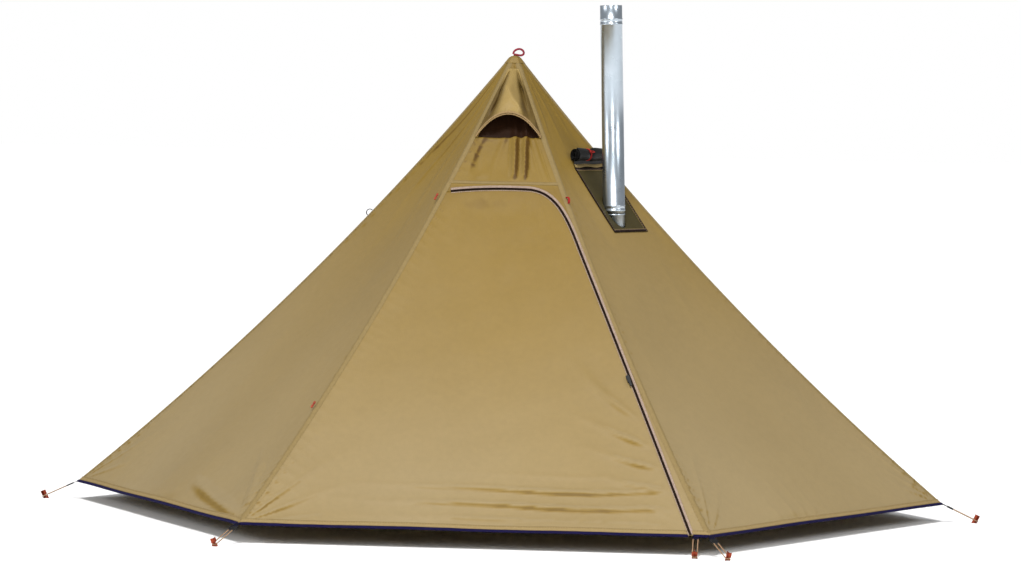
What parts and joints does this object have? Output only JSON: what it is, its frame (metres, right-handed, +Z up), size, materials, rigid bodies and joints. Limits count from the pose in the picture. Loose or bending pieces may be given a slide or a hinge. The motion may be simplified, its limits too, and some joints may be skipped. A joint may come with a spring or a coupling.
{
  "type": "hexagonal pyramid tent",
  "caption": "Hexagonal pyramid tent on a centre pole, with a zipped door, a hooded vent, pegged corners, and a stove jack with its flue pipe.",
  "frame": {"origin": "centre of the flat underside of the centre pole's foot, on the ground; the pegs are driven in and reach below it", "axes": "+Z up; -Y out through the door; +X to the right of a person facing the door, along the longest diagonal of the hexagon"},
  "size_m": [3.4858, 3.0278, 2.0056],
  "materials": {
    "canopy_fabric": "matte",
    "binding": "matte",
    "zip_tape": "matte",
    "zip_metal": "satin",
    "mesh": "matte",
    "jack_fabric": "matte",
    "flap_fabric": "matte",
    "red_cord": "matte",
    "webbing": "matte",
    "cord": "matte",
    "peg_metal": "satin",
    "black_plastic": "satin",
    "red_plastic": "satin",
    "stainless": "satin",
    "pole_alloy": "satin"
  },
  "bodies": {
    "tent": {"front_panel": "canopy_fabric", "panel_front_right": "canopy_fabric", "panel_back_right": "canopy_fabric", "panel_back": "canopy_fabric", "panel_back_left": "canopy_fabric", "panel_front_left": "canopy_fabric", "vent_hood": "canopy_fabric", "apex_cap": "canopy_fabric", "ridge_tapes": "canopy_fabric", "hem_binding": "binding", "stove_jack_binding": "binding", "zip_tape_canopy": "zip_tape", "vent_mesh": "mesh", "stove_jack_patch": "jack_fabric", "apex_loop": "red_cord", "apex_pole_cup": "webbing", "guy_loop_front_left": "webbing", "guy_loop_front_right": "webbing", "guy_loop_back_right": "webbing", "guy_loop_back_left": "webbing", "corner_cord_1": "cord", "corner_cord_2": "cord", "corner_cord_3": "cord", "corner_cord_4": "cord", "corner_cord_5": "cord", "corner_cord_6": "cord", "door_base_cord": "cord", "peg_1": "peg_metal", "peg_2": "peg_metal", "peg_3": "peg_metal", "peg_4": "peg_metal", "peg_5": "peg_metal", "peg_6": "peg_metal", "peg_7": "peg_metal", "corner_buckle_1": "black_plastic", "corner_buckle_2": "black_plastic", "corner_buckle_3": "black_plastic", "corner_buckle_4": "black_plastic", "corner_buckle_5": "black_plastic", "corner_buckle_6": "black_plastic", "pole_foot": "black_plastic", "pole_clamp": "black_plastic", "door_toggle_upper": "red_plastic", "door_toggle_lower": "red_plastic", "pole_lower": "pole_alloy"},
    "door": {"door_panel": "canopy_fabric", "zip_tape_door": "zip_tape", "door_hem_binding": "binding"},
    "zip_slider": {"zip_slider": "zip_metal"},
    "zip_pull": {"zip_pull": "zip_metal"},
    "vent_brim": {"vent_brim": "canopy_fabric"},
    "stove_flap": {"stove_flap_roll": "flap_fabric", "stove_flap_tie": "red_cord"},
    "flue": {"flue_lower": "stainless"},
    "flue_top": {"flue_upper": "stainless"},
    "pole_top": {"pole_upper": "pole_alloy", "pole_tip": "black_plastic"}
  },
  "joints": [
    {"name": "door_swing", "type": "hinge", "parent": "tent", "child": "door", "pos_m": [-0.80356, -1.39181, 0.07702], "axis": [-0.3511, -0.6081, -0.712], "range_deg": [0, 170]},
    {"name": "zip_slider_run", "type": "slide", "parent": "door", "child": "zip_slider", "axis": [-0.3385, 0.6349, 0.6944], "range_m": [-0.24, 0.24]},
    {"name": "zip_pull_swing", "type": "hinge", "parent": "zip_slider", "child": "zip_pull", "pos_m": [0.49039, -0.91963, 0.56352], "axis": [-0.9409, -0.22, -0.2576], "range_deg": [0, 120]},
    {"name": "vent_brim_tilt", "type": "hinge", "parent": "tent", "child": "vent_brim", "pos_m": [0, -0.233, 1.3845], "axis": [1, 0, 0], "range_deg": [0, 95]},
    {"name": "stove_flap_fold", "type": "hinge", "parent": "tent", "child": "stove_flap", "pos_m": [0.26211, -0.15133, 1.284], "axis": [0.5, 0.866, 0], "range_deg": [0, 14]},
    {"name": "flue_slide", "type": "slide", "parent": "tent", "child": "flue", "axis": [-0.0349, 0, 0.9994], "range_m": [-0.15, 0.35]},
    {"name": "flue_top_lift", "type": "slide", "parent": "flue", "child": "flue_top", "axis": [-0.0349, 0, 0.9994], "range_m": [0, 0.05]},
    {"name": "pole_telescope", "type": "slide", "parent": "tent", "child": "pole_top", "axis": [0, 0, 1], "range_m": [-0.55, 0]}
  ]
}
